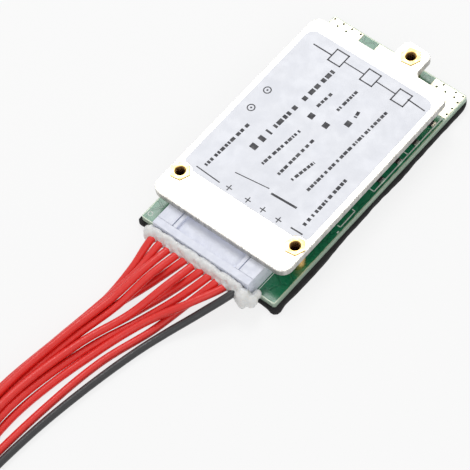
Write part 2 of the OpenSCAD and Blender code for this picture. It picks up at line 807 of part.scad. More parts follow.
red_wire(8);  // red_wire_9
red_wire(9);  // red_wire_10
black_wire();
harness_hank();
harness_tie();
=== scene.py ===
"""Looks of a battery management board: finishes, the balance harness, the glue round its wires,
the foam pad, the printed label and the board's silkscreen. Metres; the frame is the CAD part's."""

import json
import math
import random

import bmesh
import bpy
from mathutils import Matrix, Vector, noise


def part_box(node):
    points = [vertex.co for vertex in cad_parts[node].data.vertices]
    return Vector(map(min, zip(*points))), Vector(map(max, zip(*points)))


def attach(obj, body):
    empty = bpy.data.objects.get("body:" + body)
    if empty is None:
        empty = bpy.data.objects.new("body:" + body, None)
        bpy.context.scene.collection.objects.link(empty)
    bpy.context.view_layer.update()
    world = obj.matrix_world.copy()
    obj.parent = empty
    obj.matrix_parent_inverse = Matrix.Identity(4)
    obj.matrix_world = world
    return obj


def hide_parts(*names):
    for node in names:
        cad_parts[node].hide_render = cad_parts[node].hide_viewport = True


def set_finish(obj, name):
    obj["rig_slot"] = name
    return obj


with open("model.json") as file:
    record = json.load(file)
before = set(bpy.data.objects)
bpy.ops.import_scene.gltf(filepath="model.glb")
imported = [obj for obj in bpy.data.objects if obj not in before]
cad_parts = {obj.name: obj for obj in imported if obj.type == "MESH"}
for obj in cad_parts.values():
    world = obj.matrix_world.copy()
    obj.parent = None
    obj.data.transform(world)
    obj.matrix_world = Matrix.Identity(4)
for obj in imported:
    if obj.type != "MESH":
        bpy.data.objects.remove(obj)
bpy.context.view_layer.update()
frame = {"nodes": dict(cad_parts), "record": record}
MM = 0.001
ROOT = "root"


STANDOFFS = [mount["pos_m"][:2] for mount in frame["record"]["mounts"]
             if mount["kind"] == "threaded_hole"]

# ---------------------------------------------------------------- camera

CAMERA_AZIMUTH = math.radians(47.7)
CAMERA_ELEVATION = math.radians(56.9)
CAMERA_ROLL = math.radians(-9.25)
CAMERA_DISTANCE = 0.705
CAMERA_LENS = 224.2
CAMERA_AIM = Vector((0.9, -28.0, 3.1)) * MM


def make_camera():
    """A long lens that looks down over the connector edge, slightly rolled."""
    flat = math.cos(CAMERA_ELEVATION)
    look = Vector((-math.sin(CAMERA_AZIMUTH) * flat, math.cos(CAMERA_AZIMUTH) * flat,
                   -math.sin(CAMERA_ELEVATION)))
    level = look.cross(Vector((0, 0, 1))).normalized()
    upright = level.cross(look)
    right = math.cos(CAMERA_ROLL) * level + math.sin(CAMERA_ROLL) * upright
    up = right.cross(look)
    data = bpy.data.cameras.new("camera")
    data.lens = CAMERA_LENS
    data.sensor_width = 36
    data.clip_start = 0.01
    data.clip_end = 20
    camera = bpy.data.objects.new("camera", data)
    turn = Matrix((right, up, -look)).transposed().to_4x4()
    camera.matrix_world = Matrix.Translation(CAMERA_AIM - look * CAMERA_DISTANCE) @ turn
    bpy.context.scene.collection.objects.link(camera)
    bpy.context.scene.camera = camera


make_camera()

# ---------------------------------------------------------------- meshes

def add_piece(name, mesh, slot, material=None, smooth=True):
    """Links a mesh as a piece of the object that rides on its one body."""
    if smooth:
        mesh.shade_smooth()
    piece = bpy.data.objects.new(name, mesh)
    bpy.context.scene.collection.objects.link(piece)
    if material:
        mesh.materials.append(material)
    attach(piece, ROOT)
    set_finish(piece, slot)
    return piece


def sweep(name, path, radius_at, sides):
    """A closed tube mesh along a path. radius_at(share of the way, turn) gives its radius."""
    verts, faces = [], []
    side = None
    last = len(path) - 1
    for i, point in enumerate(path):
        along = (path[min(i + 1, last)] - path[max(i - 1, 0)]).normalized()
        if side is None:
            side = along.cross(Vector((0, 0, 1))).normalized()
        side = (side - along * side.dot(along)).normalized()
        other = along.cross(side)
        for k in range(sides):
            turn = 2 * math.pi * k / sides
            arm = math.cos(turn) * side + math.sin(turn) * other
            verts.append(point + radius_at(i / last, turn) * arm)
    for i in range(last):
        for k in range(sides):
            j = (k + 1) % sides
            faces.append((i * sides + k, i * sides + j, (i + 1) * sides + j, (i + 1) * sides + k))
    faces.append(tuple(range(sides - 1, -1, -1)))
    faces.append(tuple(last * sides + k for k in range(sides)))
    mesh = bpy.data.meshes.new(name)
    mesh.from_pydata(verts, [], faces)
    return mesh


# ---------------------------------------------------------------- harness

WIRE_D = 2 * MM
WIRE_LENGTH = 0.17
STRIPPED = 4 * MM
PATH_STEP = 0.8 * MM
FLOOR_BLEND = 0.1 * MM

# Points of each wire from the plug to the hank, red wires 1 to 10 and then the black one
WIRE_ROUTES = [
    [(-0.0125, -0.0394, 0.00575), (-0.0132, -0.0422, 0.00575), (-0.0129, -0.05, 0.0032),
     (-0.01325, -0.06, 0.0011), (-0.01495, -0.074, 0.00102), (-0.01715, -0.096, 0.00102),
     (-0.0146, -0.118, 0.00102)],
    [(-0.01, -0.0394, 0.00575), (-0.0107, -0.0422, 0.00575), (-0.0108, -0.05, 0.00425),
     (-0.0122, -0.06, 0.00305), (-0.0139, -0.074, 0.00285), (-0.0161, -0.096, 0.00305),
     (-0.01355, -0.118, 0.0028)],
    [(-0.0075, -0.0394, 0.00575), (-0.0081, -0.0422, 0.00575), (-0.00925, -0.05, 0.0056),
     (-0.0106, -0.06, 0.0044), (-0.01285, -0.074, 0.0046), (-0.0148, -0.096, 0.0046),
     (-0.0125, -0.118, 0.0046)],
    [(-0.005, -0.0394, 0.00575), (-0.0055, -0.0422, 0.00575), (-0.00715, -0.05, 0.0052),
     (-0.009, -0.06, 0.0029), (-0.0117, -0.074, 0.0028), (-0.0136, -0.096, 0.00295),
     (-0.01145, -0.118, 0.0028)],
    [(-0.0025, -0.0394, 0.00575), (-0.003, -0.0422, 0.00575), (-0.0069, -0.05, 0.0021),
     (-0.0103, -0.06, 0.00105), (-0.01275, -0.074, 0.00102), (-0.01475, -0.096, 0.00102),
     (-0.0125, -0.118, 0.00102)],
    [(0, -0.0394, 0.00575), (-0.0004, -0.0422, 0.00575), (-0.00205, -0.05, 0.0053),
     (-0.0049, -0.06, 0.003), (-0.00935, -0.074, 0.00315), (-0.01215, -0.096, 0.00465),
     (-0.0104, -0.118, 0.0046)],
    [(0.0025, -0.0394, 0.00575), (0.0021, -0.0422, 0.00575), (-0.002, -0.05, 0.0019),
     (-0.0058, -0.06, 0.00102), (-0.0105, -0.074, 0.00102), (-0.0122, -0.096, 0.00102),
     (-0.0104, -0.118, 0.00102)],
    [(0.005, -0.0394, 0.00575), (0.0046, -0.0422, 0.00575), (0.0016, -0.05, 0.0033),
     (-0.00295, -0.06, 0.00105), (-0.00805, -0.074, 0.00102), (-0.01095, -0.096, 0.00295),
     (-0.00935, -0.118, 0.0028)],
    [(0.0075, -0.0394, 0.00575), (0.0071, -0.0422, 0.00575), (0.00415, -0.05, 0.00285),
     (0.00135, -0.06, 0.00105), (-0.0028, -0.074, 0.00102), (-0.0054, -0.096, 0.00102),
     (-0.0062, -0.118, 0.00102)],
    [(0.01, -0.0394, 0.00575), (0.0095, -0.0422, 0.00575), (0.0056, -0.05, 0.00525),
     (-0.00085, -0.06, 0.00265), (-0.0058, -0.074, 0.00102), (-0.0095, -0.096, 0.00102),
     (-0.0083, -0.118, 0.00102)],
    [(0.0125, -0.0394, 0.00575), (0.0122, -0.0422, 0.00575), (0.0085, -0.05, 0.0033),
     (0.004, -0.06, 0.00105), (0.00055, -0.074, 0.00102), (-0.00285, -0.096, 0.00102),
     (-0.0041, -0.118, 0.00102)],
]

# Hank: every wire keeps its lane, runs out, turns round one centre and comes back
HANK_RUN = 36 * MM
HANK_TURN_X = -20.8 * MM
HANK_FACE_Y = -118 * MM
TIE_STEP = 0.75 * MM
TIE_REACH = 8 * MM


def spline_point(a, b, c, d, share):
    """A point between b and c on the centripetal Catmull-Rom curve through four points."""
    t0 = 0
    t1 = t0 + math.sqrt((b - a).length)
    t2 = t1 + math.sqrt((c - b).length)
    t3 = t2 + math.sqrt((d - c).length)
    t = t1 + (t2 - t1) * share
    ab = a.lerp(b, (t - t0) / (t1 - t0))
    bc = b.lerp(c, (t - t1) / (t2 - t1))
    cd = c.lerp(d, (t - t2) / (t3 - t2))
    return ab.lerp(bc, (t - t0) / (t2 - t0)).lerp(bc.lerp(cd, (t - t1) / (t3 - t1)), share)


def settle(point):
    """Eases a point up so that a wire's underside rests on the floor."""
    above = point.z - WIRE_D / 2
    point.z = WIRE_D / 2 + (above + math.hypot(above, FLOOR_BLEND)) / 2
    return point


def smooth_route(route):
    """The listed points joined by one smooth line that starts and ends along the board."""
    points = [Vector(p) for p in route]
    before = points[0] + Vector((0, (points[0] - points[1]).y, 0))
    after = points[-1] - Vector((0, 6 * MM, 0))
    points = [before, *points, after]
    line = []
    for i in range(1, len(points) - 2):
        steps = max(2, int((points[i + 1] - points[i]).length / PATH_STEP))
        line += [settle(spline_point(*points[i - 1:i + 3], k / steps)) for k in range(steps)]
    return line


def hank_point(lane, height, along):
    """Where a wire is after a length along its hank: out, round and back over the tie's strap."""
    turn_length = math.pi * lane
    if along < HANK_RUN:
        x, y = HANK_TURN_X + lane, HANK_FACE_Y - along
    elif along < HANK_RUN + turn_length:
        turn = (along - HANK_RUN) / lane
        x = HANK_TURN_X + lane * math.cos(turn)
        y = HANK_FACE_Y - HANK_RUN - lane * math.sin(turn)
    else:
        x, y = HANK_TURN_X - lane, HANK_FACE_Y - 2 * HANK_RUN - turn_length + along
    from_tie = min(1, abs(y - HANK_FACE_Y + HANK_RUN / 2) / TIE_REACH)
    return Vector((x, y, height + TIE_STEP * (1 + math.cos(math.pi * from_tie)) / 2))


def line_length(line):
    return sum((b - a).length for a, b in zip(line, line[1:]))


def wire_path(route):
    """The whole of one wire up to its stripped tip."""
    line = smooth_route(route)
    end = Vector(route[-1])
    left = WIRE_LENGTH - STRIPPED - line_length(line) - PATH_STEP
    steps = max(1, round(left / PATH_STEP))
    lane = end.x - HANK_TURN_X
    return line + [hank_point(lane, end.z, left * k / steps) for k in range(steps + 1)]


def wire_radius(share, turn):
    """Soft insulation is never quite even."""
    return WIRE_D / 2 * (1 - 0.004 * (1 + math.sin(90 * share + turn)))


def strand_radius(share, turn):
    """Seven strands twisted together."""
    return WIRE_D * (0.2 + 0.035 * abs(math.cos(3 * turn + 9 * share)))


def make_wire(name, route, slot):
    """One insulated wire with its bare, tinned end."""
    path = wire_path(route)
    wire = add_piece(name, sweep(name, path, wire_radius, 14), slot)
    onward = (path[-1] - path[-2]).normalized()
    tip_path = [path[-1] + onward * STRIPPED * k / 12 for k in range(13)]
    tip = add_piece(name + "_tip", sweep(name + "_tip", tip_path, strand_radius, 18), "tinned_pins")
    return wire, tip


wires, tips = [], []
for number, route in enumerate(WIRE_ROUTES, 1):
    black = number == len(WIRE_ROUTES)
    node = "black_wire" if black else f"red_wire_{number}"
    wire, tip = make_wire(node + "_insulation", route, "black_wire" if black else "red_wire")
    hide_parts(node, "harness_hank")
    wires.append(wire)
    tips.append(tip)

# ---------------------------------------------------------------- materials

def srgb(red, green, blue):
    """A colour as it shows on a screen, 0 to 255, as the linear colour of a shader."""
    def linear(value):
        value /= 255
        return value / 12.92 if value <= 0.04045 else ((value + 0.055) / 1.055) ** 2.4
    return linear(red), linear(green), linear(blue), 1


class Paint:
    """A Principled material, built up in layers of colour, roughness and relief."""

    def __init__(self, name, colour, roughness=0.5, metallic=0.0, edge=0.0, **sockets):
        self.material = bpy.data.materials.new(name)
        self.material.use_nodes = True
        self.tree = self.material.node_tree
        self.shader = self.tree.nodes["Principled BSDF"]
        self.shader.inputs["Base Color"].default_value = colour
        self.shader.inputs["Roughness"].default_value = roughness
        self.shader.inputs["Metallic"].default_value = metallic
        for socket, value in sockets.items():
            self.shader.inputs[socket.replace("_", " ")].default_value = value
        self.place = self.node("ShaderNodeTexCoord").outputs["Object"]
        self.relief = None
        if edge:
            bevel = self.node("ShaderNodeBevel", Radius=edge)
            bevel.samples = 4
            self.set_relief(bevel.outputs[0])

    def node(self, kind, **inputs):
        made = self.tree.nodes.new(kind)
        for name, value in inputs.items():
            self.feed(made.inputs[name.replace("_", " ")], value)
        return made

    def feed(self, socket, value):
        if isinstance(value, bpy.types.NodeSocket):
            self.tree.links.new(value, socket)
        else:
            socket.default_value = value

    def maths(self, operation, *values):
        made = self.tree.nodes.new("ShaderNodeMath")
        made.operation = operation
        for socket, value in zip(made.inputs, values):
            self.feed(socket, value)
        return made.outputs[0]

    def parts(self, vector):
        return self.node("ShaderNodeSeparateXYZ", Vector=vector).outputs

    def facing_up(self):
        """1 where the surface faces up or down, 0 on the sides."""
        normal = self.tree.nodes.new("ShaderNodeNewGeometry").outputs["True Normal"]
        return self.maths("GREATER_THAN", self.maths("ABSOLUTE", self.parts(normal)["Z"]), 0.7)

    def stretched(self, x, y, z):
        return self.node("ShaderNodeMapping", Vector=self.place, Scale=(x, y, z)).outputs[0]

    def noise(self, size, detail=3.0, low=0.35, high=0.65, place=None):
        """Clouds of a given size in metres, spread from 0 to 1."""
        made = self.node("ShaderNodeTexNoise", Vector=place or self.place, Scale=1 / size,
                         Detail=detail)
        return self.spread(made.outputs["Fac"], low, high)

    def cells(self, size, feature="F1", metric="EUCLIDEAN"):
        made = self.node("ShaderNodeTexVoronoi", Vector=self.place, Scale=1 / size)
        made.feature = feature
        if feature == "F1":
            made.distance = metric
        return made.outputs["Distance"]

    def spread(self, value, low, high, to_low=0.0, to_high=1.0):
        made = self.node("ShaderNodeMapRange", Value=value, From_Min=low, From_Max=high,
                         To_Min=to_low, To_Max=to_high)
        return made.outputs[0]

    def set_input(self, name, value):
        self.feed(self.shader.inputs[name], value)

    def tint(self, share, colour):
        """Lays another colour over the base colour where share is 1."""
        socket = self.shader.inputs["Base Color"]
        mix = self.tree.nodes.new("ShaderNodeMix")
        mix.data_type = "RGBA"
        below = socket.links[0].from_socket if socket.links else tuple(socket.default_value)
        self.feed(mix.inputs["Factor"], share)
        self.feed(mix.inputs["A"], below)
        self.feed(mix.inputs["B"], colour)
        self.tree.links.new(mix.outputs["Result"], socket)
        return self

    def weaker(self, share, strength):
        return self.maths("MULTIPLY", share, strength)

    def rough(self, share, low, high):
        self.set_input("Roughness", self.spread(share, 0, 1, low, high))
        return self

    def set_relief(self, normal):
        self.relief = normal
        self.tree.links.new(normal, self.shader.inputs["Normal"])

    def bump(self, height, depth):
        """Relief of a depth in metres."""
        made = self.node("ShaderNodeBump", Height=height, Distance=depth, Strength=1.0)
        if self.relief:
            self.feed(made.inputs["Normal"], self.relief)
        self.set_relief(made.outputs[0])
        return self

def foam_finish():
    paint = Paint("closed_cell_foam", srgb(38, 38, 39), 0.85, Specular_IOR_Level=0.3)
    pores = paint.cells(0.35 * MM)
    paint.tint(paint.weaker(paint.noise(4 * MM), 0.5), srgb(52, 51, 51))
    # Painted shade: each pore is darkened in its middle, where the relief dips.
    paint.tint(paint.weaker(paint.spread(pores, 0.1, 0.5, 1, 0), 0.35), srgb(14, 14, 15))
    paint.rough(paint.noise(2 * MM), 0.72, 0.95)
    return paint.bump(pores, 0.05 * MM).bump(paint.noise(6 * MM), 0.1 * MM).material


def board_finish():
    """Green mask over copper, a bare rim round the top and a pale sawn edge."""
    paint = Paint("solder_mask", srgb(22, 122, 82), 0.3, edge=0.1 * MM, Coat_Weight=0.6,
                  Coat_Roughness=0.12)
    low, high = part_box("circuit_board")
    place = paint.parts(paint.place)
    across = paint.maths("ABSOLUTE", paint.maths("SUBTRACT", place["X"], (low[0] + high[0]) / 2))
    along = paint.maths("ABSOLUTE", paint.maths("SUBTRACT", place["Y"], (low[1] + high[1]) / 2))
    from_side = paint.maths("SUBTRACT", (high[0] - low[0]) / 2, across)
    from_end = paint.maths("SUBTRACT", (high[1] - low[1]) / 2, along)
    wander = paint.weaker(paint.noise(1.5 * MM), 0.12 * MM)
    inset = paint.maths("SUBTRACT", paint.maths("MINIMUM", from_side, from_end), wander)
    copper = paint.cells(4.2 * MM, "DISTANCE_TO_EDGE")
    pour = paint.spread(copper, 0.035, 0.06)
    paint.tint(paint.weaker(paint.spread(pour, 0, 1, 1, 0), 0.55), srgb(10, 84, 56))
    paint.tint(paint.weaker(paint.noise(9 * MM), 0.3), srgb(50, 150, 108))
    paint.tint(paint.weaker(paint.noise(0.5 * MM, 6), 0.15), srgb(10, 90, 58))
    paint.tint(paint.spread(inset, 0.22 * MM, 0.3 * MM, 1, 0), srgb(196, 214, 186))
    glass = paint.noise(1.0, 4, place=paint.stretched(300, 300, 6000))
    side = paint.spread(paint.facing_up(), 0, 1, 1, 0)
    paint.tint(side, srgb(186, 206, 188))
    paint.tint(paint.maths("MULTIPLY", side, paint.weaker(glass, 0.45)), srgb(146, 176, 150))
    paint.set_input("Roughness", paint.maths("MAXIMUM", paint.weaker(side, 0.75),
                                             paint.spread(paint.noise(3 * MM), 0, 1, 0.22, 0.38)))
    return paint.bump(pour, 0.03 * MM).bump(paint.noise(0.4 * MM), 0.006 * MM).material


def solder_finish():
    """Hot-dipped tin: warm, uneven, a little dull where the flux dried."""
    paint = Paint("tinned_copper", srgb(250, 244, 224), 0.35, 0.85, edge=0.12 * MM)
    paint.tint(paint.weaker(paint.noise(2.5 * MM), 0.5), srgb(228, 216, 186))
    paint.tint(paint.weaker(paint.noise(0.6 * MM, 6, 0.55, 0.75), 0.4), srgb(190, 170, 130))
    paint.rough(paint.noise(1.6 * MM), 0.25, 0.55)
    return (paint.bump(paint.noise(2.2 * MM), 0.12 * MM)
            .bump(paint.noise(0.3 * MM), 0.01 * MM).material)


def plate_finish():
    """Pale plated aluminium with stamping marks and darker sheared edges."""
    paint = Paint("plated_aluminium", srgb(250, 247, 240), 0.36, 0.85, edge=0.25 * MM)
    side = paint.spread(paint.facing_up(), 0, 1, 1, 0)
    grain = paint.noise(1.0, 5, 0.3, 0.7, paint.stretched(2600, 180, 2600))
    paint.tint(paint.weaker(paint.noise(7 * MM), 0.25), srgb(246, 236, 226))
    paint.tint(paint.weaker(paint.noise(0.9 * MM, 6, 0.6, 0.8), 0.3), srgb(214, 208, 198))
    paint.tint(paint.weaker(side, 0.75), srgb(176, 176, 172))
    shear = paint.noise(1.0, 4, place=paint.stretched(900, 900, 90))
    paint.tint(paint.maths("MULTIPLY", side, paint.weaker(shear, 0.5)), srgb(128, 128, 126))
    paint.set_input("Roughness", paint.maths("ADD", paint.spread(grain, 0, 1, 0.3, 0.42),
                                             paint.weaker(side, 0.1)))
    return paint.bump(grain, 0.004 * MM).bump(paint.noise(5 * MM), 0.03 * MM).material


def label_finish():
    """A film label, very slightly wavy where the adhesive didn't take."""
    paint = Paint("printed_film", srgb(238, 240, 247), 0.42, edge=0.05 * MM, Coat_Weight=0.2,
                  Coat_Roughness=0.3)
    paint.tint(paint.weaker(paint.noise(8 * MM), 0.35), srgb(230, 233, 243))
    paint.tint(paint.weaker(paint.noise(0.35 * MM, 6, 0.6, 0.8), 0.12), srgb(196, 200, 210))
    paint.rough(paint.noise(3 * MM), 0.36, 0.55)
    return (paint.bump(paint.noise(5 * MM), 0.06 * MM)
            .bump(paint.noise(0.25 * MM), 0.004 * MM).material)


def ink_finish(name, colour, fade):
    paint = Paint(name, colour, 0.5)
    paint.tint(paint.weaker(paint.noise(0.5 * MM, 5, 0.45, 0.7), 0.5), fade)
    paint.rough(paint.noise(1 * MM), 0.4, 0.65)
    return paint.bump(paint.noise(0.2 * MM), 0.004 * MM).material


def brass_finish():
    """Turned brass, bright on the flats, with painted shade of dark brown down the tapped holes
    that darkens with depth.
    """
    paint = Paint("turned_brass", srgb(233, 199, 128), 0.24, 1.0, edge=0.12 * MM)
    place = paint.parts(paint.place)
    tarnish = paint.noise(1.6 * MM, 5)
    paint.tint(paint.weaker(tarnish, 0.5), srgb(206, 160, 88))
    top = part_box("standoffs")[1][2]
    shade_with_depth = paint.spread(place["Z"], top - 2.4 * MM, top - 0.5 * MM, 1, 0)
    bore_shade_mask = None
    for x, y in STANDOFFS:
        away = paint.maths("SQRT", paint.maths("ADD",
                           paint.maths("POWER", paint.maths("SUBTRACT", place["X"], x), 2),
                           paint.maths("POWER", paint.maths("SUBTRACT", place["Y"], y), 2)))
        inside = paint.spread(away, 1.3 * MM, 1.45 * MM, 1, 0)
        bore_shade_mask = inside if bore_shade_mask is None else paint.maths("MAXIMUM", bore_shade_mask, inside)
    # Painted shade: the tapped holes are tinted dark brown, more so further down.
    paint.tint(paint.maths("MULTIPLY", bore_shade_mask, paint.spread(shade_with_depth, 0, 1, 0.7, 1)), srgb(84, 52, 34))
    turning = paint.noise(1.0, 3, 0.3, 0.7, paint.stretched(400, 400, 9000))
    paint.rough(tarnish, 0.18, 0.38)
    return paint.bump(turning, 0.006 * MM).bump(paint.noise(0.5 * MM), 0.008 * MM).material


def nylon_finish(name, colour, shade):
    paint = Paint(name, colour, 0.4, edge=0.15 * MM, Subsurface_Weight=0.15,
                  Subsurface_Scale=0.8 * MM, Subsurface_Radius=(1, 1, 1))
    paint.tint(paint.weaker(paint.noise(5 * MM), 0.35), shade)
    paint.tint(paint.weaker(paint.noise(0.5 * MM, 6, 0.62, 0.8), 0.2), srgb(196, 200, 214))
    paint.rough(paint.noise(1.5 * MM), 0.32, 0.52)
    return (paint.bump(paint.noise(0.12 * MM), 0.004 * MM)
            .bump(paint.noise(2.5 * MM), 0.03 * MM).material)


def tin_finish(name, colour, shade, roughness):
    paint = Paint(name, colour, roughness, 1.0, edge=0.06 * MM)
    paint.tint(paint.weaker(paint.noise(0.8 * MM, 5), 0.5), shade)
    paint.rough(paint.noise(0.6 * MM), roughness - 0.08, roughness + 0.15)
    return paint.bump(paint.noise(0.3 * MM), 0.01 * MM).material


def glue_finish():
    """Milky silicone, cured glossy, cloudy where it is thick."""
    paint = Paint("milky_silicone", srgb(240, 240, 238), 0.3, Subsurface_Weight=0.5,
                  Subsurface_Scale=1.2 * MM, Subsurface_Radius=(1, 0.95, 0.9), Coat_Weight=0.3,
                  Coat_Roughness=0.15)
    paint.tint(paint.weaker(paint.noise(2 * MM), 0.4), srgb(226, 226, 226))
    paint.tint(paint.weaker(paint.noise(0.7 * MM, 5, 0.6, 0.8), 0.3), srgb(210, 208, 206))
    paint.rough(paint.noise(1.2 * MM), 0.22, 0.45)
    return (paint.bump(paint.noise(0.9 * MM), 0.08 * MM)
            .bump(paint.noise(0.2 * MM), 0.008 * MM).material)


def epoxy_finish(name, colour, shade):
    """Black moulding compound with a fine sparkle from its filler."""
    paint = Paint(name, colour, 0.6, edge=0.08 * MM)
    paint.tint(paint.weaker(paint.noise(1.5 * MM), 0.5), shade)
    paint.tint(paint.weaker(paint.noise(0.12 * MM, 3, 0.62, 0.8), 0.25), srgb(92, 92, 94))
    paint.rough(paint.noise(0.8 * MM), 0.5, 0.75)
    return paint.bump(paint.noise(0.1 * MM), 0.006 * MM).material


def silicone_sheet_finish():
    paint = Paint("thermal_sheet", srgb(150, 166, 186), 0.65, Specular_IOR_Level=0.35)
    weave = paint.cells(0.6 * MM, metric="MANHATTAN")
    paint.tint(paint.weaker(paint.noise(3 * MM), 0.4), srgb(134, 150, 172))
    paint.tint(paint.weaker(weave, 0.25), srgb(172, 186, 202))
    paint.rough(paint.noise(1 * MM), 0.55, 0.8)
    return paint.bump(weave, 0.02 * MM).material


def wire_finish(name, colour, shade, dust):
    """Extruded silicone insulation: satin, with faint drag marks and lint."""
    paint = Paint(name, colour, 0.38, Coat_Weight=0.1, Coat_Roughness=0.3)
    paint.tint(paint.weaker(paint.noise(3 * MM), 0.35), shade)
    paint.tint(paint.weaker(paint.noise(0.18 * MM, 4, 0.68, 0.8), 0.3), dust)
    paint.rough(paint.noise(1.2 * MM), 0.32, 0.5)
    drag = paint.noise(1.0, 4, place=paint.stretched(1600, 260, 1600))
    return paint.bump(drag, 0.015 * MM).bump(paint.noise(0.15 * MM), 0.006 * MM).material


def tie_finish():
    paint = Paint("tie_nylon", srgb(240, 240, 238), 0.45, edge=0.12 * MM)
    paint.tint(paint.weaker(paint.noise(2 * MM), 0.5), srgb(224, 224, 222))
    ribs = paint.tree.nodes.new("ShaderNodeTexWave")
    paint.feed(ribs.inputs["Vector"], paint.place)
    paint.feed(ribs.inputs["Scale"], 500)
    paint.rough(paint.noise(0.8 * MM), 0.38, 0.6)
    return (paint.bump(ribs.outputs["Fac"], 0.03 * MM)
            .bump(paint.noise(0.2 * MM), 0.006 * MM).material)


FINISHES = {
    "foam": foam_finish(),
    "board": board_finish(),
    "solder": solder_finish(),
    "plate": plate_finish(),
    "label": label_finish(),
    "brass": brass_finish(),
    "thermal_pad": silicone_sheet_finish(),
    "connector": nylon_finish("white_nylon", srgb(236, 239, 252), srgb(224, 228, 245)),
    "tinned_pins": tin_finish("tin_plating", srgb(226, 226, 228), srgb(196, 196, 198), 0.22),
    "contacts": tin_finish("tinned_bronze", srgb(222, 206, 160), srgb(196, 170, 116), 0.28),
    "glue": glue_finish(),
    "black_plastic": epoxy_finish("moulded_epoxy", srgb(44, 44, 46), srgb(34, 34, 36)),
    "transistor": epoxy_finish("transistor_epoxy", srgb(40, 40, 42), srgb(30, 30, 31)),
    "resistor": epoxy_finish("resistor_film", srgb(40, 34, 32), srgb(28, 24, 23)),
    "shunt": epoxy_finish("shunt_film", srgb(52, 55, 58), srgb(40, 42, 45)),
    "red_wire": wire_finish("red_insulation", srgb(240, 50, 42), srgb(226, 36, 32),
                            srgb(255, 150, 140)),
    "black_wire": wire_finish("black_insulation", srgb(46, 46, 48), srgb(34, 34, 36),
                              srgb(130, 130, 132)),
    "tie": tie_finish(),
}
END_CAPS = tin_finish("tinned_terminals", srgb(226, 224, 220), srgb(198, 194, 188), 0.3)

# ---------------------------------------------------------------- CAD nodes

SLOT_OF = {part["node"]: part["material_slot"] for part in frame["record"]["subparts"]}


def dress(node, is_terminal=None):
    """Gives a CAD node its finish. is_terminal(face centre, low, high) picks its tinned faces."""
    mesh = frame["nodes"][node].data
    mesh.materials.clear()
    mesh.materials.append(FINISHES[SLOT_OF[node]])
    if not is_terminal:
        return
    mesh.materials.append(END_CAPS)
    low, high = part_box(node)
    for face in mesh.polygons:
        face.material_index = int(is_terminal(face.center, low, high))


def chip_end(centre, low, high):
    """The ends of a chip part, along its longer side."""
    axis = 0 if high[0] - low[0] > high[1] - low[1] else 1
    cap = 0.19 * (high[axis] - low[axis])
    return min(centre[axis] - low[axis], high[axis] - centre[axis]) < cap


def mosfet_terminal(centre, low, high):
    """The drain tab at the far side and the leads at the near one."""
    length = high[1] - low[1]
    near = centre[1] < low[1] + 0.262 * length
    tab = centre[1] > high[1] - 0.085 * length
    return near or tab or centre[2] < low[2] + 0.05 * MM


def lead_height(centre, low, high):
    """Leads of a small moulded part: whatever stands out past its body, near the board."""
    return centre[2] < low[2] + 0.62 * MM and not (
        low[0] + 0.9 * MM < centre[0] < high[0] - 0.9 * MM
        and low[1] + 0.9 * MM < centre[1] < high[1] - 0.9 * MM)


for node, slot_name in SLOT_OF.items():
    if slot_name in ("resistor", "shunt"):
        dress(node, chip_end)
    elif slot_name == "transistor":
        dress(node, mosfet_terminal)
    elif slot_name == "black_plastic":
        dress(node, lead_height)
    else:
        dress(node)
for wire in wires:
    wire.data.materials.append(FINISHES[wire["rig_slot"]])
for tip in tips:
    tip.data.materials.append(FINISHES["tinned_pins"])

# ---------------------------------------------------------------- foam pad

FOAM_LEVELS = [(0, 0.25), (0.08, 0.06), (0.3, 0), (0.8, -0.05), (0.94, 0.05), (1, 0.2)]
FOAM_BULGES = [(22.0, -37.9, 0.7, 2.2), (22.0, -24, 0.75, 9), (-21.9, -38, 0.45, 1.6),
               (21.5, 37.6, -0.5, 1.5), (21.6, 12, 0.25, 6), (-21.6, 20, 0.2, 9)]


def rounded_outline(low, high, radius, step):
    """Points with outward directions round a rectangle with round corners."""
    points = []
    for k in range(4):
        sx, sy = (1, 1, -1, -1)[k], (-1, 1, 1, -1)[k]
        corner = Vector(((high if sx > 0 else low)[0] - sx * radius,
                         (high if sy > 0 else low)[1] - sy * radius, 0))
        turns = max(3, int(radius * math.pi / 2 / step))
        for i in range(turns + 1):
            a = math.pi / 2 * (k - 1 + i / turns)
            out = Vector((math.cos(a), math.sin(a), 0))
            points.append((corner + out * radius, out))
    full = []
    for (p, out), (q, _) in zip(points, points[1:] + points[:1]):
        steps = max(1, round((q - p).length / step))
        full += [(p.lerp(q, i / steps), out) for i in range(steps)]
    return full


def make_foam_pad():
    """Hand-cut foam: its edge wanders and bulges where the board presses on it."""
    low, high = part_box("insulating_pad")
    outline = rounded_outline(low, high, 1.2 * MM, 0.6 * MM)
    bm = bmesh.new()
    rings = []
    for level, inset in FOAM_LEVELS:
        ring = []
        for point, out in outline:
            wave = 0.22 * noise.noise(point / MM * 0.12) + 0.1 * noise.noise(point / MM * 0.5)
            for x, y, amount, reach in FOAM_BULGES:
                gap = (point / MM - Vector((x, y, 0))).length / reach
                wave += amount * math.exp(-gap * gap)
            spot = point + out * (wave - inset) * MM
            spot.z = low[2] + level * (high[2] - low[2])
            ring.append(bm.verts.new(spot))
        rings.append(ring)
    count = len(outline)
    for lower, upper in zip(rings, rings[1:]):
        for i in range(count):
            j = (i + 1) % count
            bm.faces.new((lower[i], lower[j], upper[j], upper[i]))
    bm.faces.new(list(reversed(rings[0])))
    bm.faces.new(rings[-1])
    mesh = bpy.data.meshes.new("foam_pad")
    bm.to_mesh(mesh)
    bm.free()
    pad = add_piece("foam_pad", mesh, "foam", FINISHES["foam"])
    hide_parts("insulating_pad")


make_foam_pad()

# ---------------------------------------------------------------- glue

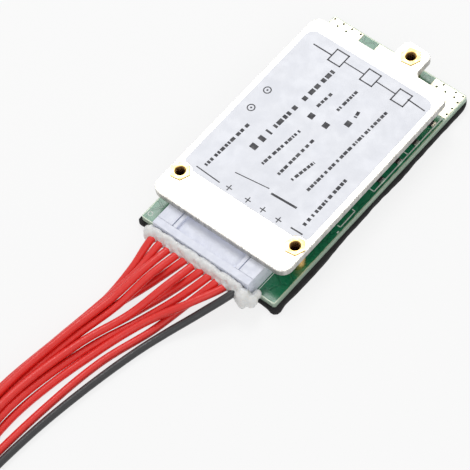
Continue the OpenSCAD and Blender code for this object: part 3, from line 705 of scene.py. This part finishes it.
# Blobs: middle x, y, z and radii, in mm
GLUE_BLOBS = [
    (-14.6, -40.7, 5.2, 1.9, 2.0, 2.5), (-16.0, -40.2, 4.6, 1.4, 1.3, 1.7),
    (14.6, -41.2, 5.1, 2.1, 2.2, 2.5), (16.6, -40.6, 4.4, 1.5, 1.7, 1.7),
    (15.2, -42.5, 4.4, 1.2, 1.1, 1.2), (16.4, -38.6, 4.2, 1.1, 1.8, 1.1),
]
GLUE_VOXEL = 0.22 * MM


def make_glue():
    """Silicone run by hand along the plug: a lumpy bead, with a collar round each wire."""
    low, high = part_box("glue_bead")
    middle_z = (low[2] + high[2]) / 2 / MM
    blobs = list(GLUE_BLOBS)
    rng = random.Random(7)
    for k in range(27):
        x = -13.5 + k
        blobs.append((x, -40.4 + rng.uniform(-0.25, 0.2), middle_z + rng.uniform(-0.15, 0.1),
                      1.3, 1.45 + rng.uniform(-0.15, 0.25), 2.55 + rng.uniform(-0.15, 0.12)))
    for route in WIRE_ROUTES:
        first, second = Vector(route[0]) / MM, Vector(route[1]) / MM
        spot = first.lerp(second, 0.9)
        blobs.append((spot.x, spot.y + 0.5, spot.z - 0.15,
                      1.2, 1.25 + rng.uniform(-0.15, 0.3), 1.25))
    bm = bmesh.new()
    for x, y, z, rx, ry, rz in blobs:
        stretch = Matrix.Diagonal((rx * MM, ry * MM, rz * MM, 1))
        place = Matrix.Translation(Vector((x, y, z)) * MM) @ stretch
        bmesh.ops.create_icosphere(bm, subdivisions=3, radius=1, matrix=place)
    mesh = bpy.data.meshes.new("glue")
    bm.to_mesh(mesh)
    bm.free()
    glue = add_piece("glue", mesh, "glue", FINISHES["glue"])
    remesh = glue.modifiers.new("fuse", "REMESH")
    remesh.mode = "VOXEL"
    remesh.voxel_size = GLUE_VOXEL
    soften = glue.modifiers.new("soften", "SMOOTH")
    soften.factor = 0.6
    soften.iterations = 9
    graph = bpy.context.evaluated_depsgraph_get()
    fused = bpy.data.meshes.new_from_object(glue.evaluated_get(graph))
    glue.modifiers.clear()
    plug_low, plug_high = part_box("connector_plug")
    for vert in fused.vertices:
        lump = noise.noise(vert.co / MM * 0.8) * 0.22 + noise.noise(vert.co / MM * 2.3) * 0.07
        vert.co += vert.normal * lump * MM
        if plug_low[0] < vert.co.x < plug_high[0]:
            vert.co.y = min(vert.co.y, plug_low[1] - 0.01 * MM)
    glue.data = fused
    glue.data.shade_smooth()
    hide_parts("glue_bead")


make_glue()

# ---------------------------------------------------------------- print

def strip(bm, start, end, width, z, thick):
    """A thin bar of ink from start to end, in mm."""
    a, b = Vector((*start, 0)), Vector((*end, 0))
    along = (b - a).normalized()
    side = Vector((-along.y, along.x, 0)) * width / 2
    base = [a - side, b - side, b + side, a + side]
    lower = [bm.verts.new((p.x * MM, p.y * MM, z)) for p in base]
    upper = [bm.verts.new((p.x * MM, p.y * MM, z + thick)) for p in base]
    bm.faces.new(upper)
    bm.faces.new(list(reversed(lower)))
    for i in range(4):
        j = (i + 1) % 4
        bm.faces.new((lower[i], lower[j], upper[j], upper[i]))


def ring(bm, middle, outer, width, z, thick, sides=20):
    """A circle of ink, in mm."""
    spots = [Vector((middle[0] + outer * math.cos(2 * math.pi * k / sides),
                     middle[1] + outer * math.sin(2 * math.pi * k / sides)))
             for k in range(sides + 1)]
    for a, b in zip(spots, spots[1:]):
        strip(bm, a, b, width, z, thick)


def frame_box(bm, middle, size, turn, width, z, thick):
    """The outline of a rectangle of ink, in mm."""
    half = [Vector((sx * size[0] / 2, sy * size[1] / 2))
            for sx, sy in ((-1, -1), (1, -1), (1, 1), (-1, 1))]
    c, s = math.cos(turn), math.sin(turn)
    spots = [Vector((middle[0] + c * p.x - s * p.y, middle[1] + s * p.x + c * p.y)) for p in half]
    for a, b in zip(spots, spots[1:] + spots[:1]):
        over = (b - a).normalized() * width / 2
        strip(bm, a - over, b + over, width, z, thick)


def dashes(bm, start, end, height, z, thick, rng):
    """A row of short bars that stands in for a line of print."""
    a, b = Vector(start), Vector(end)
    total = (b - a).length
    along = (b - a).normalized()
    here = 0
    while here < total:
        long = height * rng.uniform(0.5, 1.5)
        strip(bm, a + along * here, a + along * min(total, here + long), height, z, thick)
        here += long + height * rng.choice((0.3, 0.35, 0.8))


INK_T = 0.012 * MM
PRINT_ROWS = [
    ((-8.2, -9.7), (-7.9, -3.2), 2.0), ((-7.75, -1.6), (-7.3, 7.2), 1.3),
    ((-7.2, 8.8), (-6.7, 20), 1.3),
    ((-3.3, -11.7), (-2.1, 1.2), 0.85), ((-3.2, 9.3), (-2.8, 14.5), 0.85),
    ((1.8, -11.8), (2.3, 1.5), 0.85), ((1.5, 11.3), (1.8, 18.6), 0.85),
    ((5.4, -11.1), (6.6, -3.9), 0.85), ((6.3, 12.2), (5.95, 14.2), 0.85),
    ((10.4, -11.2), (11.5, 18), 0.85),
    ((-14.1, -20.2), (-13.4, -4.7), 0.95), ((15.95, -19.4), (15.9, -3.2), 0.95),
]
PRINT_LINES = [
    ((-15.9, 23.5), (-10.1, 23.5), 0.35), ((13.2, 24.1), (18.7, 23.8), 0.35),
    ((-6.3, 23.7), (-0.1, 23.7), 0.3), ((3.8, 23.7), (9.7, 23.6), 0.3),
    ((-15.7, -21.7), (-8.1, -22), 0.3), ((-7, -17.5), (2.7, -16.2), 0.25),
    ((3.9, -17), (11.5, -16.6), 0.6), ((13.8, -21.7), (17.4, -21.6), 0.4),
]
PRINT_BOXES = [((-8.2, 23.8), (3.7, 3.9)), ((1.85, 23.8), (3.7, 3.9)), ((11.7, 23.55), (3.7, 3.9))]
PRINT_RINGS = [(-16.2, 5.9), (-16.1, -0.5)]
PRINT_DOTS = [(-2.6, 6.3), (2.0, 6.2), (6.1, 9.8)]
PRINT_PLUSES = [-5.3, 0.6, 5.25, 10.1]


def make_label_print():
    """Greeked print: boxes, leads, marks and rows of plain bars, with no letters in it."""
    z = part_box("plate_label")[1][2] + 0.002 * MM
    rng = random.Random(3)
    bm = bmesh.new()
    for start, end, height in PRINT_ROWS:
        dashes(bm, start, end, height, z, INK_T, rng)
    for start, end, width in PRINT_LINES:
        strip(bm, start, end, width, z, INK_T)
    for middle, size in PRINT_BOXES:
        frame_box(bm, middle, size, 0, 0.35, z, INK_T)
    for middle in PRINT_RINGS:
        ring(bm, middle, 0.95, 0.3, z, INK_T)
        ring(bm, middle, 0.15, 0.3, z, INK_T, 8)
    for x, y in PRINT_DOTS:
        strip(bm, (x - 0.8, y), (x + 0.8, y), 1.6, z, INK_T)
    for x in PRINT_PLUSES:
        strip(bm, (x - 0.9, -21.8), (x + 0.9, -21.8), 0.28, z, INK_T)
        strip(bm, (x, -22.7), (x, -20.9), 0.28, z + INK_T / 10, INK_T)
    ink = ink_finish("black_ink", srgb(34, 34, 40), srgb(74, 74, 82))
    finish_print(bm, "label_print", "label", ink)


def finish_print(bm, name, slot_name, material):
    mesh = bpy.data.meshes.new(name)
    bm.to_mesh(mesh)
    bm.free()
    add_piece(name, mesh, slot_name, material, smooth=False)


make_label_print()

SILK_LINES = [
    ((18.4, 15.2), (20.0, 15.2), 0.3), ((18.4, 1.8), (20.0, 1.8), 0.3),
    ((20.0, 1.8), (20.0, 29), 0.3),
    ((18.9, -5.3), (19.85, -5.4), 0.3), ((19.85, -5.4), (19.9, -11), 0.3),
    ((19.9, -11), (19, -11.1), 0.3), ((20.3, -12.9), (20.3, -12.2), 0.4),
]
SILK_RINGS = [(-19.6, -35.6)]


def make_silkscreen():
    """White component outlines on the board."""
    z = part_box("circuit_board")[1][2] + 0.002 * MM
    bm = bmesh.new()
    for start, end, width in SILK_LINES:
        strip(bm, start, end, width, z, INK_T)
    for middle in SILK_RINGS:
        ring(bm, middle, 0.6, 0.2, z, INK_T)
    header_low, header_high = (Vector(c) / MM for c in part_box("connector_header"))
    middle = (header_low + header_high) / 2
    size = header_high - header_low
    frame_box(bm, (middle.x, middle.y), (size.x + 0.8, size.y + 0.8), 0, 0.2, z, INK_T)
    finish_print(bm, "board_silkscreen", "board",
                 ink_finish("white_ink", srgb(232, 238, 230), srgb(196, 214, 200)))


make_silkscreen()

# ---------------------------------------------------------------- threads

THREAD_PITCH = 0.5 * MM
THREAD_DEPTH = 0.16 * MM
BORE_R = 1.25 * MM


def make_threads():
    """The M3 thread's crests in each tapped hole."""
    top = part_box("standoffs")[1][2] - 0.3 * MM
    steps = 24
    turns = 10
    verts, faces = [], []
    for x, y in STANDOFFS:
        start = len(verts)
        count = steps * turns
        for k in range(count + 1):
            a = 2 * math.pi * k / steps
            z = top - THREAD_PITCH * k / steps
            for out, dz in ((0.04 * MM, 0.2), (-THREAD_DEPTH, 0), (0.04 * MM, -0.2)):
                r = BORE_R + out
                verts.append((x + r * math.cos(a), y + r * math.sin(a), z + dz * THREAD_PITCH))
        for k in range(count):
            for i in range(3):
                j = (i + 1) % 3
                a, b = start + 3 * k, start + 3 * (k + 1)
                faces.append((a + i, a + j, b + j, b + i))
        faces.append((start, start + 2, start + 1))
        last = start + 3 * count
        faces.append((last, last + 1, last + 2))
    mesh = bpy.data.meshes.new("standoff_threads")
    mesh.from_pydata(verts, [], faces)
    add_piece("standoff_threads", mesh, "brass", FINISHES["brass"])


make_threads()

# ---------------------------------------------------------------- studio

FLOOR_SIZE = 6
FLOOR_DROP = 0.05 * MM
FLOOR_PAINT = (0.9, 0.9, 0.9, 1)
FLOOR_GLOW = 0.8
WHITE = (1, 1, 1, 1)
ROOM_LIGHT = 0.5
LIGHT_AIM = Vector((0, -0.02, 0))


def seen_rays(tree):
    """1 for what the camera sees, also in a reflection or through glass, else 0."""
    rays = tree.nodes.new("ShaderNodeLightPath")
    either = tree.nodes.new("ShaderNodeMath")
    either.operation = "MAXIMUM"
    tree.links.new(rays.outputs["Is Camera Ray"], either.inputs[0])
    tree.links.new(rays.outputs["Is Glossy Ray"], either.inputs[1])
    both = tree.nodes.new("ShaderNodeMath")
    both.operation = "MAXIMUM"
    tree.links.new(either.outputs[0], both.inputs[0])
    tree.links.new(rays.outputs["Is Transmission Ray"], both.inputs[1])
    return both.outputs[0]


def make_floor():
    """A pale floor that keeps the shadow and looks nearly as white as the background."""
    bpy.ops.mesh.primitive_plane_add(size=FLOOR_SIZE, location=(0, 0, -FLOOR_DROP))
    floor = bpy.context.object
    floor.name = "floor"
    material = bpy.data.materials.new("paper_floor")
    material.use_nodes = True
    tree = material.node_tree
    tree.nodes.clear()
    out = tree.nodes.new("ShaderNodeOutputMaterial")
    diffuse = tree.nodes.new("ShaderNodeBsdfDiffuse")
    diffuse.inputs["Color"].default_value = FLOOR_PAINT
    glow = tree.nodes.new("ShaderNodeEmission")
    glow.inputs["Color"].default_value = WHITE
    glow.inputs["Strength"].default_value = 1
    share = tree.nodes.new("ShaderNodeMath")
    share.operation = "MULTIPLY"
    tree.links.new(seen_rays(tree), share.inputs[0])
    share.inputs[1].default_value = FLOOR_GLOW
    mix = tree.nodes.new("ShaderNodeMixShader")
    tree.links.new(share.outputs[0], mix.inputs[0])
    tree.links.new(diffuse.outputs[0], mix.inputs[1])
    tree.links.new(glow.outputs[0], mix.inputs[2])
    tree.links.new(mix.outputs[0], out.inputs["Surface"])
    floor.data.materials.append(material)


def make_world():
    """White where it is seen, and a softer light on the object."""
    world = bpy.data.worlds.new("studio")
    bpy.context.scene.world = world
    world.use_nodes = True
    tree = world.node_tree
    shade = tree.nodes["Background"]
    shade.inputs["Color"].default_value = WHITE
    level = tree.nodes.new("ShaderNodeMapRange")
    tree.links.new(seen_rays(tree), level.inputs["Value"])
    level.inputs["To Min"].default_value = ROOM_LIGHT
    level.inputs["To Max"].default_value = 1
    tree.links.new(level.outputs[0], shade.inputs["Strength"])


def soft_light(name, place, size, watts):
    """A round lamp that faces the object."""
    data = bpy.data.lights.new(name, "AREA")
    data.shape = "DISK"
    data.size = size
    data.energy = watts
    light = bpy.data.objects.new(name, data)
    light.location = place
    aim = LIGHT_AIM - Vector(place)
    light.rotation_euler = aim.to_track_quat("-Z", "Y").to_euler()
    bpy.context.scene.collection.objects.link(light)


make_floor()
make_world()
soft_light("key", place=(-0.25, 0.25, 0.6), size=0.35, watts=1.6)
soft_light("fill", place=(0.5, -0.3, 0.5), size=0.6, watts=0.8)
bpy.context.scene.view_settings.view_transform = "Standard"
